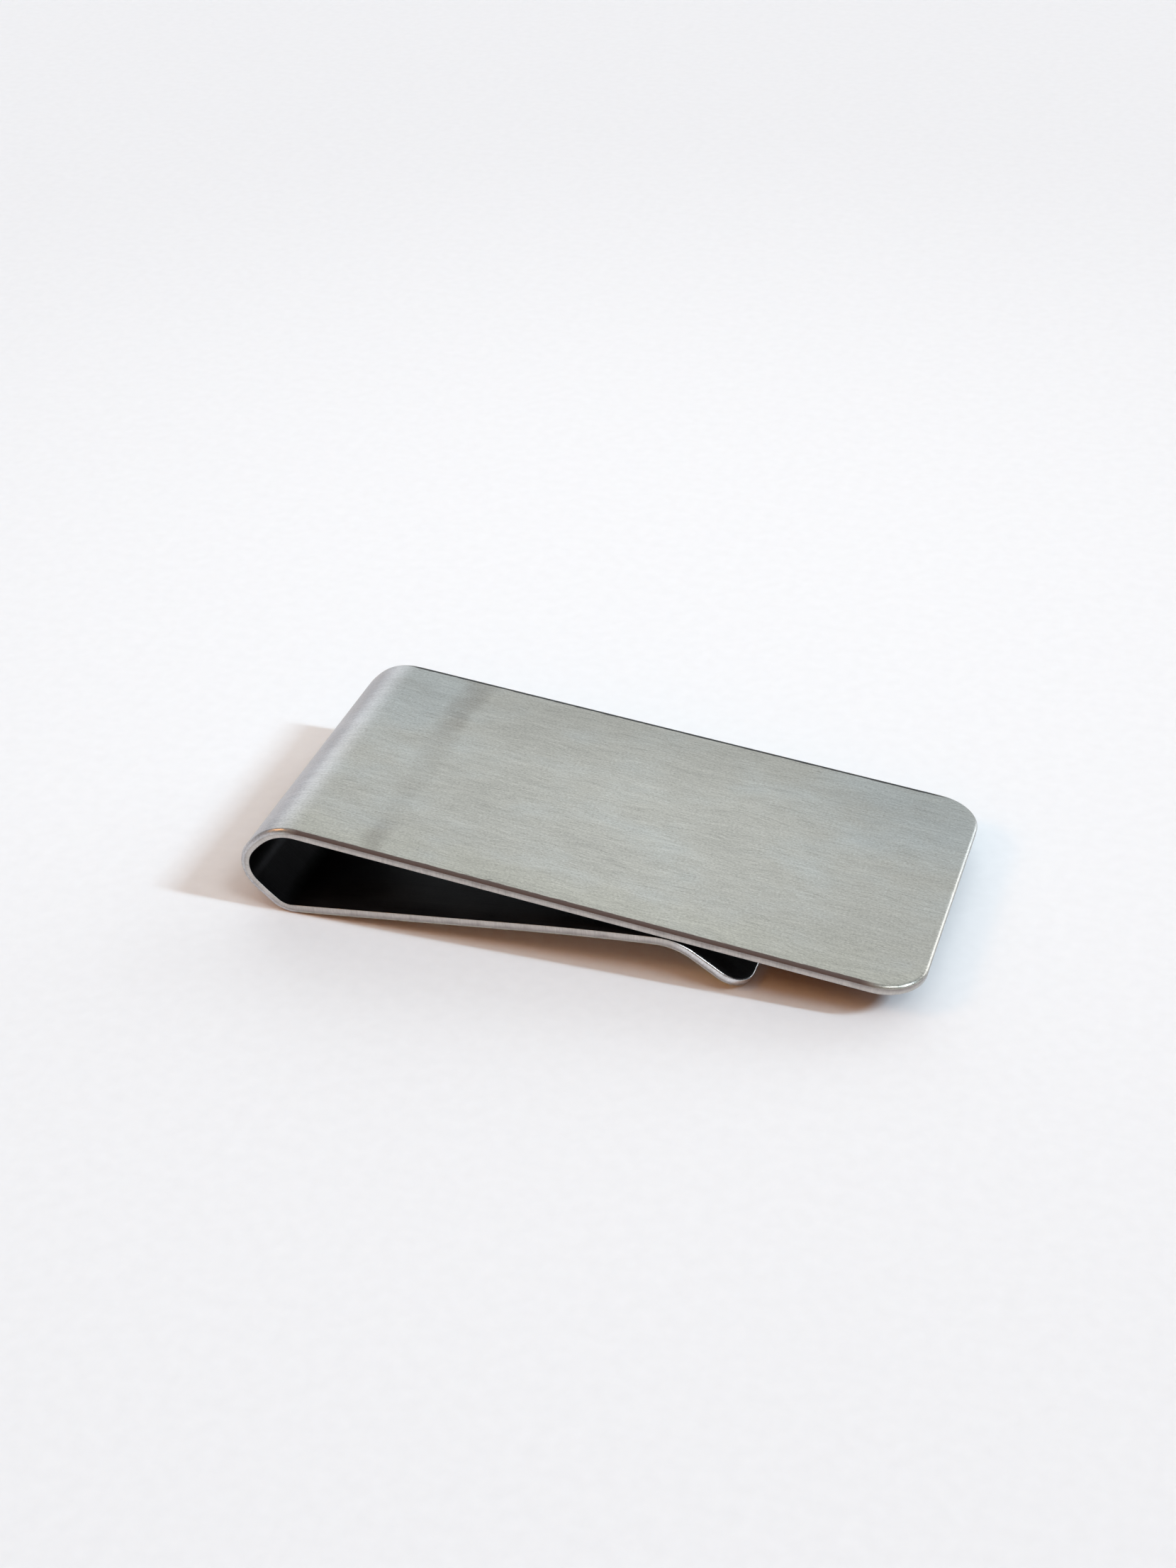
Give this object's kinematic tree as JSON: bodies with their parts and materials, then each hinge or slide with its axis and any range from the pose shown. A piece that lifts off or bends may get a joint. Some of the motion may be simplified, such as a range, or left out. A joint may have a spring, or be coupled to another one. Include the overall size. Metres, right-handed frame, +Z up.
{
  "type": "money clip",
  "caption": "Spring clip bent from one strip of brushed stainless sheet: flat face plate, teardrop fold, and a shorter clamping leaf with a flared lip, to hold folded banknotes and cards.",
  "frame": {"origin": "on the table under the middle of the clip's bounding box, where the fold's heel and the lip's edge both rest", "axes": "+X from the fold to the plate's free end, +Y across the strip, +Z up from the table; the face plate leans 5.68 degrees down towards +X"},
  "size_m": [0.0522, 0.0254, 0.0077],
  "materials": {
    "steel": "fine lengthwise brushing, edges lightly tumbled"
  },
  "bodies": {
    "leaf": {"clamp_leaf": "steel", "entry_lip": "steel"},
    "fold": {"spring_fold": "steel"},
    "plate": {"face_plate": "steel"}
  },
  "joints": [
    {"name": "heel_flex", "type": "hinge", "parent": "leaf", "child": "fold", "pos_m": [-0.02167, 0, 0.00044], "axis": [0, -1, 0], "range_deg": [0, 4], "stiffness_Nm_per_rad": 10.3},
    {"name": "crown_flex", "type": "hinge", "parent": "fold", "child": "plate", "pos_m": [-0.02097, 0, 0.00729], "axis": [0, -1, 0], "range_deg": [0, 4], "stiffness_Nm_per_rad": 10.3}
  ],
  "couplings": [
    {"joint": "crown_flex", "follows": "heel_flex", "ratio": 1}
  ]
}
